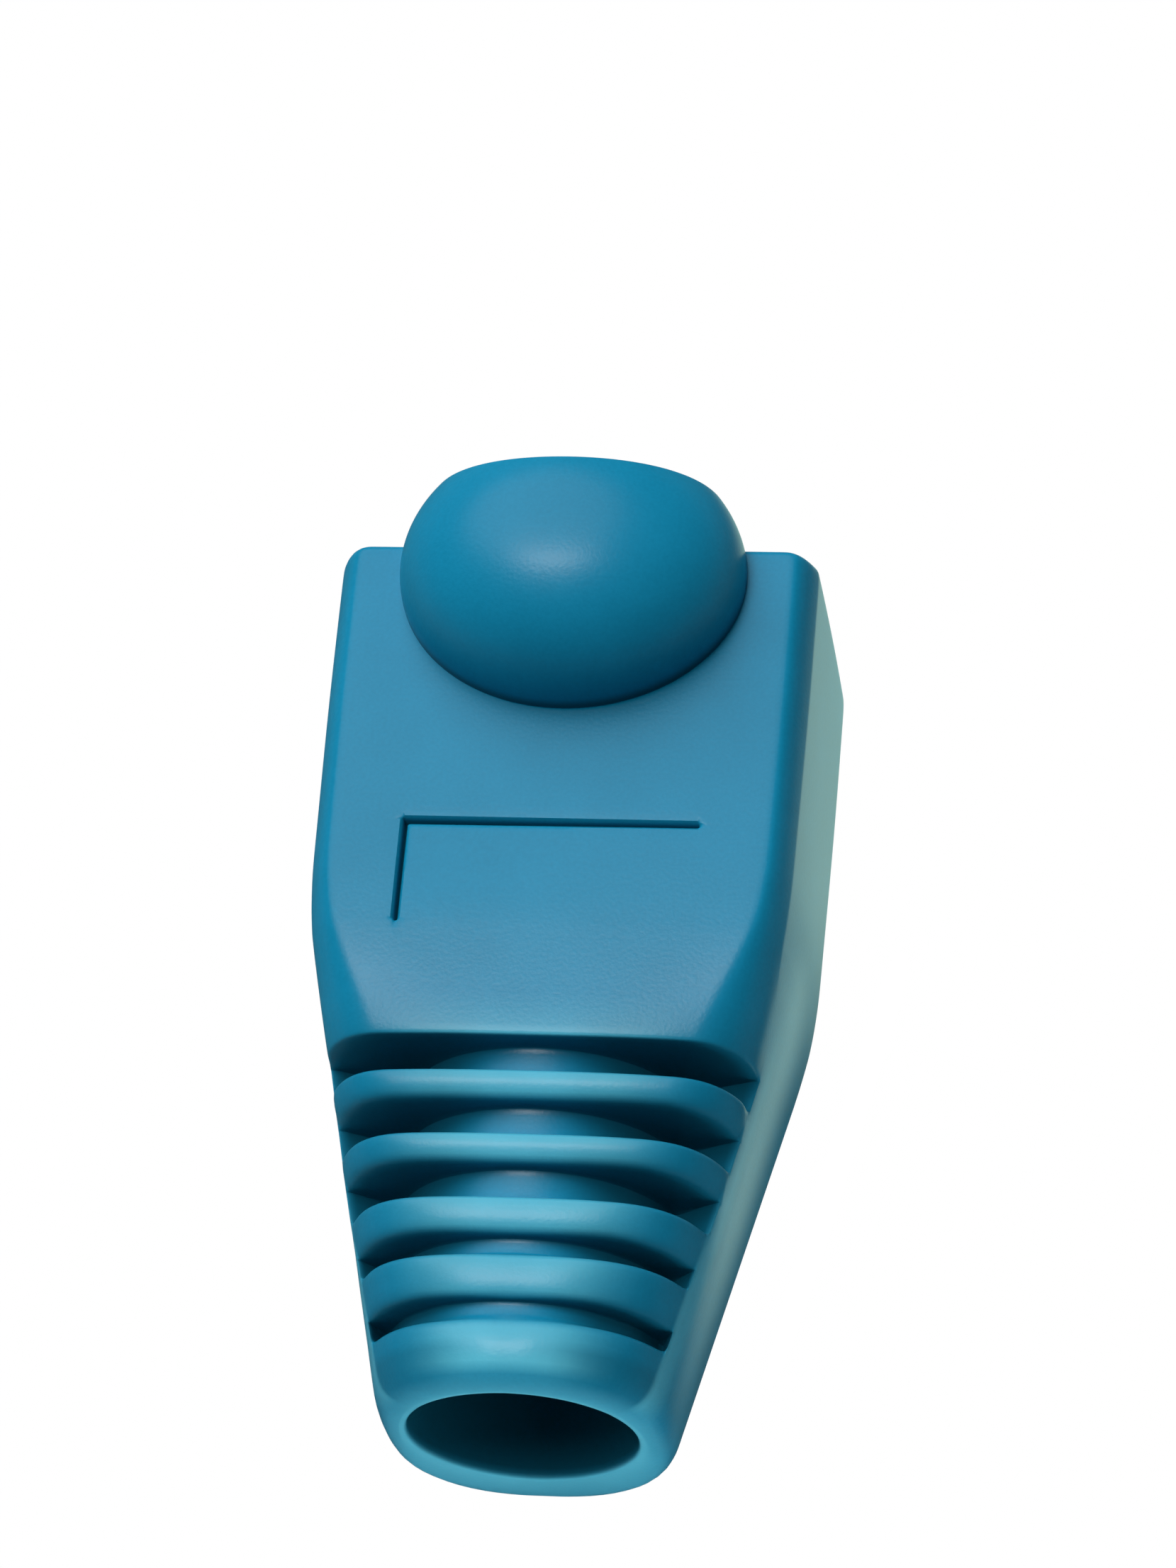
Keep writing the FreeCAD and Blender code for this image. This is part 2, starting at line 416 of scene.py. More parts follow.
def groove_rings(index):
    """Every ring of one groove, from its mouth side to its tail side."""
    middle, width = first_groove_y + index * groove_pitch, groove_widths[index]
    is_last = index == len(groove_widths) - 1
    high_wall = wall_rings(
        middle + width / 2, 1, cable_side_rounds[index], 0.0, width,
        shoulder_wear_and_highlight if is_last else cable_side_wear_and_highlight, cable_side_gloom)
    low_wall = wall_rings(
        middle - width / 2, -1, mouth_side_rounds[index], fillets[index], width,
        mouth_side_wear_and_highlight, mouth_side_gloom)
    return high_wall + low_wall[::-1]


print("a groove has", len(groove_rings(0)), "rings")

# %% [markdown]
# ## From the mouth to the lip
#
# The sleeve is nearly straight, so a few rings are enough for it, closer together at the
# rounded edge of the mouth. Beside the recess the rings lie where its edges will be. Then
# come the grooves, and last the rounded lip where the cable leaves. All rings are gathered in
# order from the mouth to the lip, because the skin joins each ring to the next.

# %% Rings of the sleeve
# How far back from the mouth, how far drawn in, and how far the sides are pinched.
mouth_edge = ((0, 0.2, 0.16), (0.05, 0.09, 0.1), (0.14, 0.02, 0.05), (0.3, 0.0, 0.015), (0.55, 0.0, 0.0))
sleeve_ys = (24.2, 23.0, 21.5, 20.0, 18.6, 17.5)
line_ys = (panel_high - edge_hold, panel_high - line_width)
floor_ys = (
    panel_high - line_width - edge_hold, panel_high - line_width - inner_hold, 15.6, 15.0,
    shoulder_y + 0.3, shoulder_y, panel_low + inner_hold, panel_low + edge_hold)
below_panel_ys = (panel_low, panel_low - inner_hold, 12.4, 11.4)

outside = []
for back, inset, pinch in mouth_edge:
    outside.append(Ring(mouth_y - back, outer_half(mouth_y - back, inset, pinch), 0.0, (0, 0), True))
for y in sleeve_ys + (panel_high + outer_hold, panel_high) + line_ys + floor_ys + below_panel_ys:
    outside.append(Ring(y, outer_half(y), 0.0, (0, 0), True))
print("sleeve rings:", len(outside))

# %% Rings of the tail and the lip
lip_round_y = 1.05
lip_inset = 0.72
# Paler round the lip, by wear and a painted highlight.
lip_wear_and_highlight = (1.0, 1.3, 0.3, 0.4, 0.6)
lip_side_gloom = 0.5

for index in reversed(range(len(groove_widths))):
    outside += groove_rings(index)
for step, rubbed in enumerate(lip_wear_and_highlight):
    lean = math.pi / 2 * step / (len(lip_wear_and_highlight) - 1)
    y = lip_round_y * (1 - math.sin(lean))
    half = outer_half(y, lip_inset * (1 - math.cos(lean)))
    outside.append(Ring(y, half, rubbed, (0, lip_side_gloom * math.cos(lean)), True))
print("outer rings:", len(outside))

# %% [markdown]
# ## The inside
#
# The inside is what the plug and the cable fill: a round bore, a throat that opens out, and a
# square socket with a small lead-in at the mouth. It could be cut out with a boolean, but its
# rings can use the same columns as the outside, and then the skin closes at the rim of the
# bore and at the rim of the mouth with no seam.

# %% Half rings of the bore
even_from_y = 6.0
end_ring = outside[-1].half
rim_turns = np.arctan2(end_ring[:, 0], end_ring[:, 1])
even_turns = np.linspace(0.0, math.pi, columns)


def bore_half(y, radius):
    """A half circle. At the lip its points face the lip's, and deeper in they are even."""
    share = smooth_step(y / even_from_y)
    turns = (1 - share) * rim_turns + share * even_turns
    return np.stack([np.sin(turns), np.cos(turns)], 1) * radius


print("bore:", len(bore_half(0.0, bore_radius)), "points on one side")

# %% Half rings of the socket
socket_half_width = 5.9
socket_half_height = 4.06
socket_corner = 0.5


def socket_half(grow=0.0):
    """The right half of the socket's rounded rectangle, made larger by grow on each side."""
    half_width, half_height = socket_half_width + grow, socket_half_height + grow
    flat_x, flat_z = half_width - socket_corner, half_height - socket_corner
    bulge = socket_corner * quarter_arc_bulge
    side_count = len(side_shares)
    across = np.linspace(0.0, flat_x, len(free_top))
    back = np.linspace(flat_x, 0.0, columns - foot_column)[1:]
    down = flat_z - 2 * flat_z * np.arange(1, side_count + 1) / side_count
    half = np.concatenate([
        np.stack([across, np.full(len(across), half_height)], 1),
        arc((flat_x, half_height), (half_width, flat_z), bulge, corner_shares),
        np.stack([np.full(side_count, half_width), down], 1),
        arc((half_width, -flat_z), (flat_x, -half_height), bulge, foot_corner_shares),
        np.stack([back, np.full(len(back), -half_height)], 1),
    ])
    half[:, 1] += socket_mid_z
    return half


print("socket:", 2 * socket_half_width, "x", 2 * socket_half_height, "mm")

# %% Rings from the lip back to the mouth
socket_depth = 11.0
socket_end_y = mouth_y - socket_depth
lead_in = 0.3
# At the rim of the bore: y, how much wider than the bore, wear with a painted highlight, and painted shade.
rim_edge = ((0.0, 0.24, 0.9, 0.0), (0.0, 0.07, 1.0, 0.0), (0.07, 0.01, 0.5, 0.4))
bore_ys = (0.22, 1.0, 2.5, 4.5, 7.0, 9.0, bore_length - 0.3)
throat_shares = (0.0, 0.06, 0.35, 0.65, 0.94, 1.0)
socket_ys = (socket_end_y + 0.3, 17.0, 19.5, 22.0, 24.0, mouth_y - lead_in - 0.2, mouth_y - lead_in)
lead_in_edge = ((mouth_y - 0.05, lead_in - 0.06), (mouth_y, lead_in))

inside = []
for y, wider, rubbed, dark in rim_edge:
    inside.append(Ring(y, bore_half(y, bore_radius + wider), rubbed, (dark, dark), False))
# The bore is filled with painted shade, and the throat fades from it towards the socket.
for y in bore_ys:
    inside.append(Ring(y, bore_half(y, bore_radius), 0.0, (1, 1), False))
for share in throat_shares:
    y = bore_length + (socket_end_y - bore_length) * share
    half = (1 - share) * bore_half(y, bore_radius) + share * socket_half()
    inside.append(Ring(y, half, 0.0, (1 - share, 1 - share), False))
for y in socket_ys:
    inside.append(Ring(y, socket_half(), 0.0, (0, 0), False))
for y, grow in lead_in_edge:
    inside.append(Ring(y, socket_half(grow), 0.0, (0, 0), False))
print("inner rings:", len(inside))

# %% [markdown]
# ## The recess
#
# A shallow rectangle is sunk into the top face. Along its mouth side and its left side runs a
# narrow moulded line, and from there the floor rises until it meets the face again at the
# other two sides. The columns and rings that border the line are already in place, so it
# needs no boolean: the points inside it simply go down. The recess is left bare.

# %% Sink the recess and its line
line_depth = 0.42
recess_depth = 0.1
line_columns = slice(len(panel_floor_shares) + 2, len(panel_floor_shares) + 4)


def floor_depth(x, y):
    from_left = smooth_step((panel_half_width - x) / (2 * panel_half_width))
    from_mouth = smooth_step((y - panel_low) / (panel_high - panel_low))
    return recess_depth * from_left * from_mouth


def whole_ring(ring):
    """The closed ring: the right half, then its mirror image, with the recess sunk in."""
    right, left = ring.half.copy(), ring.half * np.array([-1.0, 1.0])
    for side in (right, left):
        if ring.outer and ring.y in line_ys:
            side[:line_columns.stop, 1] -= line_depth
        elif ring.outer and ring.y in floor_ys:
            for column in range(line_columns.start):
                side[column, 1] -= floor_depth(side[column, 0], ring.y)
    if ring.outer and ring.y in floor_ys:
        left[line_columns, 1] -= line_depth
    full = np.concatenate([right, left[-2:0:-1]])
    return np.stack([full[:, 0], np.full(len(full), ring.y), full[:, 1]], 1)


print("a closed ring has", len(whole_ring(outside[0])), "points")


# %% Join the rings into one skin
def new_object(name, vertices, faces):
    mesh = bpy.data.meshes.new(name)
    mesh.from_pydata([tuple(v) for v in vertices], [], faces)
    item = bpy.data.objects.new(name, mesh)
    bpy.context.scene.collection.objects.link(item)
    return item


all_rings = outside + inside
skin_rings = [whole_ring(ring) for ring in all_rings]
around = len(skin_rings[0])
quads = []
for row in range(len(skin_rings)):
    after = (row + 1) % len(skin_rings)
    for column in range(around):
        beside = (column + 1) % around
        quads.append((row * around + column, row * around + beside,
                      after * around + beside, after * around + column))
skin = new_object("boot_skin", np.concatenate(skin_rings) * MM, quads)
print("cage:", len(quads), "quads")

# %% [markdown]
# ## Wear, painted highlights and painted shade on the skin
#
# A ring's two numbers are spread over its points. The wear and painted highlight on a rib
# sits on the middle of its crest and fades before its ends, and a faint pale streak runs
# along each side of the tail: a painted reflection that also reads as edge wear. Painted
# shade fills the grooves, the moulded line and the bore, where little light reaches. They
# are stored as named values on the points, because such values survive the subdivision and
# the booleans that follow.

# %% Wear and painted highlight of a ring
crest_wear_and_highlight = 0.5
crest_fade = (0.35, 0.85)
lip_face_y = 0.2
# A pale streak along the tail's sides: a painted reflection that also reads as edge wear.
streak_wear_and_highlight = 0.4
streak_z_at_lip = 2.0
streak_fall = 0.07
streak_half_height = 0.65
streak_end_y = 13.8
streak_run = 8.0


def fade(x, start, end):
    """0 up to start, 1 beyond end, with a smooth step between. The sign of x doesn't matter."""
    share = np.clip((np.abs(x) - start) / (end - start), 0, 1)
    return share * share * (3 - 2 * share)


def ring_wear_and_highlight(ring):
    """How pale each point of a ring is made, by wear and painted highlight: the crests, the widest line of
    the sides and the lip.
    """
    right = np.full(columns, crest_wear_and_highlight * ring.rubbed)
    if ring.outer and ring.y > lip_face_y:
        rim_x = ring.half[rail_column, 0]
        right *= 1 - fade(ring.half[:, 0], crest_fade[0] * rim_x, crest_fade[1] * rim_x)
        streak_z = streak_z_at_lip - streak_fall * ring.y
        streak = np.exp(-((ring.half[rail_column:, 1] - streak_z) / streak_half_height) ** 2)
        right[rail_column:] = streak_wear_and_highlight * streak * smooth_step((streak_end_y - ring.y) / streak_run)
    return np.concatenate([right, right[-2:0:-1]])


print("wear runs from the lip to y", streak_end_y)

# %% Painted shade of a ring
gloom_fade = (0.6, 2.6)
rail_gloom_share = 0.5


def ring_painted_shade(ring):
    """How much painted shade each point of a ring gets: the deep places where little light reaches."""
    in_middle, at_sides = ring.dark
    right = in_middle + (at_sides - in_middle) * fade(ring.half[:, 0], *gloom_fade)
    if ring.outer:
        right[rail_column] *= rail_gloom_share
        right[rail_column + 1:foot_column] = 0.0
    left = right.copy()
    # The moulded line of the recess gets full painted shade.
    if ring.outer and ring.y in line_ys:
        right[:line_columns.stop] = left[:line_columns.stop] = 1.0
    elif ring.outer and ring.y in floor_ys:
        left[line_columns] = 1.0
    return np.concatenate([right, left[-2:0:-1]])


for layer_name, spread in (("rubbed", ring_wear_and_highlight), ("painted_shade", ring_painted_shade)):
    layer = skin.data.attributes.new(layer_name, "FLOAT", "POINT")
    layer.data.foreach_set("value", np.concatenate([spread(ring) for ring in all_rings]))
    print("stored:", layer_name)

# %% [markdown]
# ## The latch hood
#
# The hood is half an egg on the top face, cut off square in front of the mouth. It starts as
# a ball of even triangles, because a ball made of rings gathers them at its pole, just where
# the hood shines. Every point is then pushed out to a squared ellipse, which has steeper
# sides than a true one. A second, smaller egg will hollow it out.

# %% Make an egg
hood_mid_y = 24.42
hood_squareness = 2.3
ball_subdivisions = 7


def egg(name, half_width, half_length, height, below):
    """A closed dome on the top face, with a flat cap that lies below that face."""
    shape = bmesh.new()
    bmesh.ops.create_icosphere(shape, subdivisions=ball_subdivisions, radius=1.0)
    power = hood_squareness
    for vertex in shape.verts:
        x, y, z = vertex.co
        flat = math.hypot(x, y)
        reach = (flat ** power + abs(z) ** power) ** (-1 / power)
        vertex.co = (
            x * reach * half_width, y * reach * half_length + hood_mid_y, z * reach * height + body_top_z)
    cut = bmesh.ops.bisect_plane(
        shape, geom=shape.verts[:] + shape.edges[:] + shape.faces[:],
        plane_co=(0, 0, body_top_z - below), plane_no=(0, 0, -1), clear_outer=True)
    border = [item for item in cut["geom_cut"] if isinstance(item, bmesh.types.BMEdge)]
    bmesh.ops.contextual_create(shape, geom=border)
    bmesh.ops.scale(shape, vec=(MM, MM, MM), verts=shape.verts)
    item = new_object(name, [], [])
    shape.to_mesh(item.data)
    shape.free()
    return item


hood_half_width = 5.02
hood_half_length = 4.2
hood_height = crown_z - body_top_z
hood_wall = 0.85
hood_root = 0.4
hollow_root = 0.02
hood = egg("hood_outside", hood_half_width, hood_half_length, hood_height, hood_root)
hollow = egg(
    "hood_inside", hood_half_width - hood_wall, hood_half_length - hood_wall,
    hood_height - hood_wall, hollow_root)
print("hood:", len(hood.data.polygons), "faces")

# %% [markdown]
# ## Blocks that open the hood
#
# The hood is open at the front, and a slot through the top wall below it lets the latch of
# the plug move. Both have flat walls and square corners, so plain blocks can cut them. The
# blocks are only cutters and are deleted afterwards.


# %% Two cutting blocks
def block(name, low, high):
    x0, y0, z0 = low
    x1, y1, z1 = high
    corners = [(x, y, z) for z in (z0, z1) for y in (y0, y1) for x in (x0, x1)]
    faces = [(0, 2, 3, 1), (4, 5, 7, 6), (0, 1, 5, 4), (2, 6, 7, 3), (0, 4, 6, 2), (1, 3, 7, 5)]
    return new_object(name, np.array(corners) * MM, faces)


latch_half_width = 3.3
latch_slot_length = 4.2
beside_hood_x, below_hood_z, above_hood_z = 8, 3, 12
past_front = 6
past_mouth_y = 30
front = block(
    "front_cut", (-beside_hood_x, hood_front_y, below_hood_z),
    (beside_hood_x, hood_front_y + past_front, above_hood_z))
slot = block(
    "latch_slot", (-latch_half_width, mouth_y - latch_slot_length, socket_mid_z),
    (latch_half_width, past_mouth_y, body_top_z))
print("slot:", 2 * latch_half_width, "x", latch_slot_length, "mm")

# %% [markdown]
# ## One closed mesh
#
# The cage is subdivided first, and only then is the hood joined to it, because a boolean on
# the cage would spoil the even quads that the subdivision needs. The exact solver is slower
# than the fast one, but it handles the base of the hood, which lies in the top wall. The cuts
# could be stacked as modifiers and left to Blender, but where faces lie in one plane a stack
# of exact booleans leaves slivers, and the next cut may fail on them. So each cut is applied
# by itself, and the result is cleaned before the next one.

# %% Boolean, bake and clean helpers
sliver = 0.0005 * MM


def add_boolean(target, tool, operation):
    modifier = target.modifiers.new(tool.name, "BOOLEAN")
    modifier.operation = operation
    modifier.object = tool
    modifier.solver = "EXACT"


def bake(item, name):
    """A new object with the modifiers of item applied; item is deleted."""
    graph = bpy.context.evaluated_depsgraph_get()
    mesh = bpy.data.meshes.new_from_object(item.evaluated_get(graph))
    result = bpy.data.objects.new(name, mesh)
    bpy.context.scene.collection.objects.link(result)
    bpy.data.objects.remove(item, do_unlink=True)
    result.name = mesh.name = name
    return result


def weld(item):
    """Joins points that almost touch and drops slivers, so that the next cut starts clean."""
    shape = bmesh.new()
    shape.from_mesh(item.data)
    bmesh.ops.remove_doubles(shape, verts=shape.verts, dist=sliver)
    bmesh.ops.dissolve_degenerate(shape, edges=shape.edges, dist=sliver)
    bmesh.ops.triangulate(shape, faces=[face for face in shape.faces if len(face.verts) > 4])
    bmesh.ops.dissolve_degenerate(shape, edges=shape.edges, dist=sliver)
    shape.to_mesh(item.data)
    shape.free()


def face_outward(item):
    shape = bmesh.new()
    shape.from_mesh(item.data)
    bmesh.ops.recalc_face_normals(shape, faces=shape.faces)
    shape.to_mesh(item.data)
    shape.free()


print("points closer than", sliver / MM, "mm will be joined")

# %% Subdivide, join and hollow
for item in (skin, hood, hollow, front, slot):
    face_outward(item)
subdivision = skin.modifiers.new("subdivision", "SUBSURF")
subdivision.levels = 1
subdivision.render_levels = 1
add_boolean(hood, front, "DIFFERENCE")
boot = skin
for tool, operation in ((hood, "UNION"), (hollow, "DIFFERENCE"), (slot, "DIFFERENCE")):
    add_boolean(boot, tool, operation)
    boot = bake(boot, "boot_moulding")
    weld(boot)
for tool in (hood, hollow, front, slot):
    bpy.data.objects.remove(tool, do_unlink=True)
print("boot:", len(boot.data.polygons), "faces")

# %% [markdown]
# ## Marks on the joined mesh
#
# A boolean may carry the wear, the painted highlights and the painted shade onto faces
# where they don't belong, such as the hood, so they are kept to the tail and the recess. The
# hood gets one mark of its own: a soft painted shade along its foot, where it meets the top
# face and little light reaches. Testing each point's place is simpler than marking the
# hood's faces beforehand.

# %% Keep the marks in place and paint shade along the hood's foot
gloom_end_y = 18.0
above_face = 0.02
foot_shade_heights = (0.1, 0.55)
foot_shade_reach = (3.0, 7.0)

places = np.empty(len(boot.data.vertices) * 3)
boot.data.vertices.foreach_get("co", places)
all_y, all_z = places[1::3], places[2::3]


def foot_shade():
    """Painted shade: full just above the top face, none higher up or near the front of the hood."""
    above = all_z / MM - body_top_z
    low = (above > above_face) * (1 - fade(above, *foot_shade_heights))
    return low * (1 - fade(all_y / MM - gloom_end_y, *foot_shade_reach))


for layer_name, last_y in (("rubbed", shoulder_y), ("painted_shade", gloom_end_y)):
    layer = boot.data.attributes[layer_name]
    values = np.empty(len(boot.data.vertices))
    layer.data.foreach_get("value", values)
    values = np.where(all_y < last_y * MM, np.clip(values, 0, 1), 0.0)
    if layer_name == "painted_shade":
        values = np.maximum(values, foot_shade())
    layer.data.foreach_set("value", values)
    print("most", layer_name, round(float(values.max()), 2))

# %% [markdown]
# ## Smooth shading
#
# The mesh is fine enough for smooth shading to hide its faces. The real edges, such as the
# foot of the hood and the slot, stay crisp, because the shading breaks where two faces meet
# at more than a set angle. Small bevels would soften them too, but hardly show at this size.

# %% Smooth the shading up to real edges
sharp_from = math.radians(38)
boot.data.shade_smooth()
boot.data.set_sharp_from_angle(angle=sharp_from)
print("sharp from", round(math.degrees(sharp_from)), "degrees")

# %% [markdown]
# ## The finish
#
# The boot is soft teal-blue PVC. Straight from the mould it has a fine satin grain and a
# colour that is not quite even. The grain is a small bump from noise, fine enough to break up
# the highlights without looking like a pattern. The colour could be one flat value, but then
# a small part looks like a drawing, so wide and fine noise mottle it, the worn places and the
# painted highlights turn paler, and the places with painted shade deeper. Roughness and gloss
# are the same all over, so they are set on the shader itself.


# %% Node helpers
def new_material(name):
    material = bpy.data.materials.new(name)
    material.use_nodes = True
    return material


def add_node(material, kind, **settings):
    """A new node of the given kind, with its own settings, such as an operation."""
    node = material.node_tree.nodes.new("ShaderNode" + kind)
    for name, value in settings.items():
        setattr(node, name, value)
    return node


def feed(material, socket, source):
    """Gives a socket a number, a vector or a colour, or links it to another node's output."""
    if isinstance(source, bpy.types.NodeSocket):
        material.node_tree.links.new(source, socket)
    else:
        socket.default_value = source


def feed_all(material, node, sources):
    for name, source in sources.items():
        feed(material, node.inputs[name], source)


def mixed_colour(material, factor, first, second):
    """The first colour where factor is 0, the second where it is 1."""
    node = add_node(material, "Mix", data_type="RGBA")
    feed_all(material, node, {0: factor, 6: first, 7: second})
    return node.outputs[2]


def combined(material, operation, first, second):
    node = add_node(material, "Math", operation=operation)
    feed_all(material, node, {0: first, 1: second})
    return node.outputs[0]


print("node helpers are ready")

# %% Mottled colour
thin_teal = (0.004, 0.199, 0.350, 1)
full_teal = (0.006, 0.236, 0.412, 1)
teal_stops = ((0.35, thin_teal), (0.68, full_teal))
cloud_scale, cloud_detail = 260.0, 4.0
grain_scale, grain_detail = 9000.0, 3.0
grain_share = 0.45


def noise(material, scale, detail):
    node = add_node(material, "TexNoise")
    place = add_node(material, "TexCoord")
    feed_all(material, node, {"Vector": place.outputs["Object"], "Scale": scale, "Detail": detail})
    return node.outputs["Fac"]


def mottled(material, clouds, grain):
    """Teal that drifts between two depths, by clouds and by grain."""
    speckle = add_node(material, "Mix")
    feed_all(material, speckle, {0: grain_share, 2: clouds, 3: grain})
    tint = add_node(material, "ValToRGB")
    for element, (position, colour) in zip(tint.color_ramp.elements, teal_stops):
        element.position = position
        element.color = colour
    feed(material, tint.inputs["Fac"], speckle.outputs[0])
    return tint.outputs["Color"]


print("clouds are about", round(1000 / cloud_scale, 1), "mm wide, grain", round(1000 / grain_scale, 2), "mm")

# %% Paler colour for wear and painted highlights, deeper for painted shade
rubbed_highlight_teal = (0.16, 0.68, 0.84, 1)
painted_shade_teal = (0.004, 0.10, 0.165, 1)


def stored(material, name):
    return add_node(material, "Attribute", attribute_name=name).outputs["Fac"]


def marked(material, colour, clouds):
    """The colour made paler, unevenly, by wear and painted highlights, and deeper by painted shade."""
    uneven = add_node(material, "MapRange")
    feed_all(material, uneven, {"Value": clouds, "From Min": 0.3, "From Max": 0.6, "To Min": 0.75})
    amount = combined(material, "MULTIPLY", stored(material, "rubbed"), uneven.outputs["Result"])
    paler = mixed_colour(material, amount, colour, rubbed_highlight_teal)
    return mixed_colour(material, stored(material, "painted_shade"), paler, painted_shade_teal)


print("green and blue where rubbed:", rubbed_highlight_teal[1:3], "and in the gloom:", painted_shade_teal[1:3])


# %% Moulded PVC
def moulded_pvc():
    material = new_material("teal_pvc")
    clouds = noise(material, cloud_scale, cloud_detail)
    grain = noise(material, grain_scale, grain_detail)
    bump = add_node(material, "Bump")
    feed_all(material, bump, {"Strength": 0.2, "Distance": 0.025 * MM, "Height": grain})
    feed_all(material, material.node_tree.nodes["Principled BSDF"], {
        "Base Color": marked(material, mottled(material, clouds, grain), clouds),
        "Roughness": 0.32,
        "IOR": 1.45,
        "Specular IOR Level": 0.13,
        "Normal": bump.outputs["Normal"],
    })
    return material


boot.data.materials.clear()
boot.data.materials.append(moulded_pvc())
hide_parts("boot")
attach(boot, "root")
print("boot replaces the plain model and wears", boot.data.materials[0].name)

# %% [markdown]
# ## The table
#
# The boot lies on a plain white table. Strong lamps could make it white, but they would
# bleach the boot too. Instead the table is a light of strength 1 for the camera alone, and
# plain paper for the soft light that falls on it.
#
# Satin plastic mirrors what lies beside it, and the mirror image of a whole white table would
# wash out its sides. So reflections see a dim table, with two brighter places where the table
# glows for reflections alone, as painted reflections: a pool to the right of the mouth, which
# lifts the side of the sleeve, and a narrow band beside the right wall of the tail, which
# draws the pale line along that rail. Both are laid out on the table in metres, and the Light
# Path node tells them apart from what the camera sees. In reflections the glow has a
# green-tinted hue.


# %% Helpers for the table's glow
def ramp(material, source, start, end, at_start, at_end):
    """A smooth change from at_start to at_end while source goes from start to end."""
    node = add_node(material, "MapRange", interpolation_type="SMOOTHSTEP")
    feed_all(material, node, {
        "Value": source, "From Min": start, "From Max": end, "To Min": at_start, "To Max": at_end})
    return node.outputs["Result"]


def vector_value(material, operation, first, second):
    node = add_node(material, "VectorMath", operation=operation)
    feed_all(material, node, {0: first, 1: second})
    return node.outputs["Value"]


print("glow helpers are ready")

# %% Pool and band
# Each change is (start, end, value at start, value at end).
pool_middle = (0.008, 0.026, 0.0)
pool_fall = (0.006, 0.015, 0.9, 0.09)
across_tail = (0.978, -0.209, 0.0)
tail_wall = 0.00392
band_inner, band_middle, band_outer = (tail_wall + away for away in (0.0008, 0.0013, 0.0020))
band_rise_along = (0.001, 0.009, 0.4, 2.9)
band_fall_along = (0.015, 0.019, 1.0, 0.0)


def pool_glow(material, place):
    away = vector_value(material, "DISTANCE", place, pool_middle)
    return ramp(material, away, *pool_fall)


def band_glow(material, place):
    """A band just outside the tail's right wall, brightest where it nears the shoulder."""
    beside = vector_value(material, "DOT_PRODUCT", place, across_tail)
    parts = add_node(material, "SeparateXYZ")
    feed(material, parts.inputs[0], place)
    band = combined(
        material, "MULTIPLY",
        ramp(material, beside, band_inner, band_middle, 0.0, 1.0),
        ramp(material, beside, band_middle, band_outer, 1.0, 0.0))
    for change in (band_rise_along, band_fall_along):
        along = ramp(material, parts.outputs["Y"], *change)
        band = combined(material, "MULTIPLY", band, along)
    return band


print("band:", round((band_outer - band_inner) / MM, 1), "mm wide")

# %% The table
# The green-tinted hue of the table's glow in reflections: a painted reflection.
reflected_hue = (0.95, 1.45, 1.2, 1)
table_half = 400.0
table_gap = 0.02


def white_table():
    material = new_material("white_table")
    paper = material.node_tree.nodes["Principled BSDF"]
    feed_all(material, paper, {"Base Color": (0.8, 0.8, 0.8, 1), "Roughness": 0.8})
    place = add_node(material, "TexCoord").outputs["Object"]
    path = add_node(material, "LightPath").outputs
    to_camera, to_gloss = path["Is Camera Ray"], path["Is Glossy Ray"]
    lit = combined(material, "MAXIMUM", pool_glow(material, place), band_glow(material, place))
    glow = add_node(material, "Emission")
    feed_all(material, glow, {
        "Color": mixed_colour(material, to_camera, reflected_hue, (1, 1, 1, 1)),
        "Strength": combined(material, "MAXIMUM", lit, to_camera),
    })
    mix = add_node(material, "MixShader")
    seen = combined(material, "MAXIMUM", to_gloss, to_camera)
    feed_all(material, mix, {0: seen, 1: paper.outputs[0], 2: glow.outputs[0]})
    feed(material, material.node_tree.nodes["Material Output"].inputs["Surface"], mix.outputs[0])
    return material


table_corners = np.array([(-1, -1, 0), (1, -1, 0), (1, 1, 0), (-1, 1, 0)]) * table_half * MM
table = new_object("table", table_corners, [(0, 1, 2, 3)])
table.location.z = (foot_z - table_gap) * MM
table.data.materials.append(white_table())
print("table at z", round(table.location.z / MM, 2))

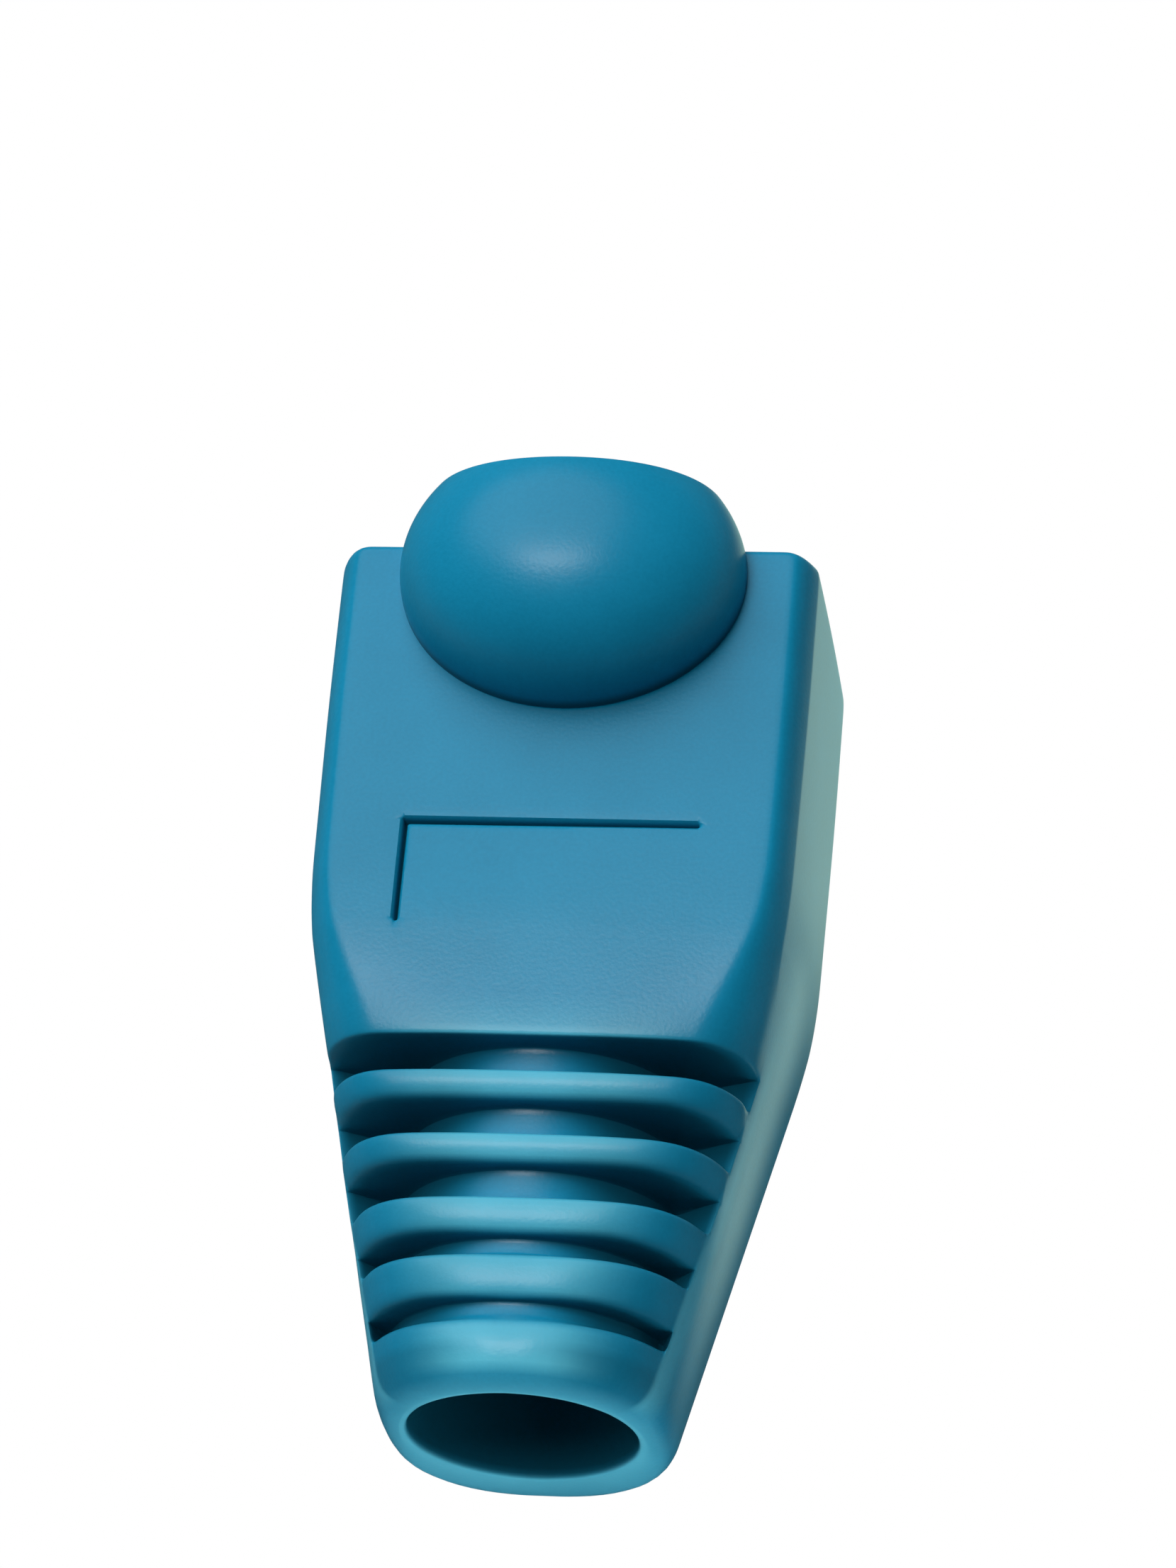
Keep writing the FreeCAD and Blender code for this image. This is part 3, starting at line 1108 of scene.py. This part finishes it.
# %% [markdown]
# ## The light
#
# Four soft lamps share the work, and their sizes and distances are in metres. The overhead is
# wide and hangs towards the mouth, a little to the left, so that the top face and the crests
# of the ribs catch it and the slopes that face the tail fall into shade. The spark adds light
# from nearly straight above but doesn't show in reflections, and the glint does the opposite:
# it is only the soft highlight on the hood and the crests. The lip fill is a faint strip in
# front of the lip, low over the table, which opens the shade there. One big lamp would be
# simpler, but then the shading and the highlights could not be set apart. The world adds a
# low, even light.

# %% Hang the lamps
boot_middle = Vector((0, 0.013, 0))


def soft_lamp(name, direction, distance, size, energy):
    """A soft lamp of size (width, length) that looks at the boot from the given direction."""
    lamp = bpy.data.objects.new(name, bpy.data.lights.new(name, "AREA"))
    bpy.context.scene.collection.objects.link(lamp)
    lamp.data.shape = "ELLIPSE"
    lamp.data.size, lamp.data.size_y = size
    lamp.data.energy = energy
    facing = Vector(direction).normalized()
    lamp.location = facing * distance + boot_middle
    across = (Vector((1, 0, 0)) - facing * facing.x).normalized()
    axes = Matrix((across, facing.cross(across), facing)).transposed()
    lamp.rotation_mode = "QUATERNION"
    lamp.rotation_quaternion = axes.to_quaternion()
    return lamp


soft_lamp("overhead", (-0.29, 0.55, 0.8), distance=0.45, size=(0.45, 0.45), energy=2.0)
spark = soft_lamp("spark", (-0.2, -0.05, 0.975), distance=0.5, size=(0.2, 0.2), energy=0.85)
spark.visible_glossy = False
glint = soft_lamp("glint", (-0.17, 0.14, 0.975), distance=0.5, size=(0.2, 0.05), energy=1.7)
glint.visible_diffuse = False
lip_fill = soft_lamp("lip_fill", (0.1, -1.0, -0.06), distance=0.04, size=(0.03, 0.003), energy=0.004)
lip_fill.visible_camera = False
lip_fill.visible_glossy = False

# %% Set the world
world = bpy.data.worlds.new("studio")
world.use_nodes = True
background = world.node_tree.nodes["Background"]
background.inputs["Color"].default_value = (1, 1, 1, 1)
background.inputs["Strength"].default_value = 0.06
bpy.context.scene.world = world
bpy.context.scene.view_settings.view_transform = "Standard"
print("world strength:", round(background.inputs["Strength"].default_value, 2))
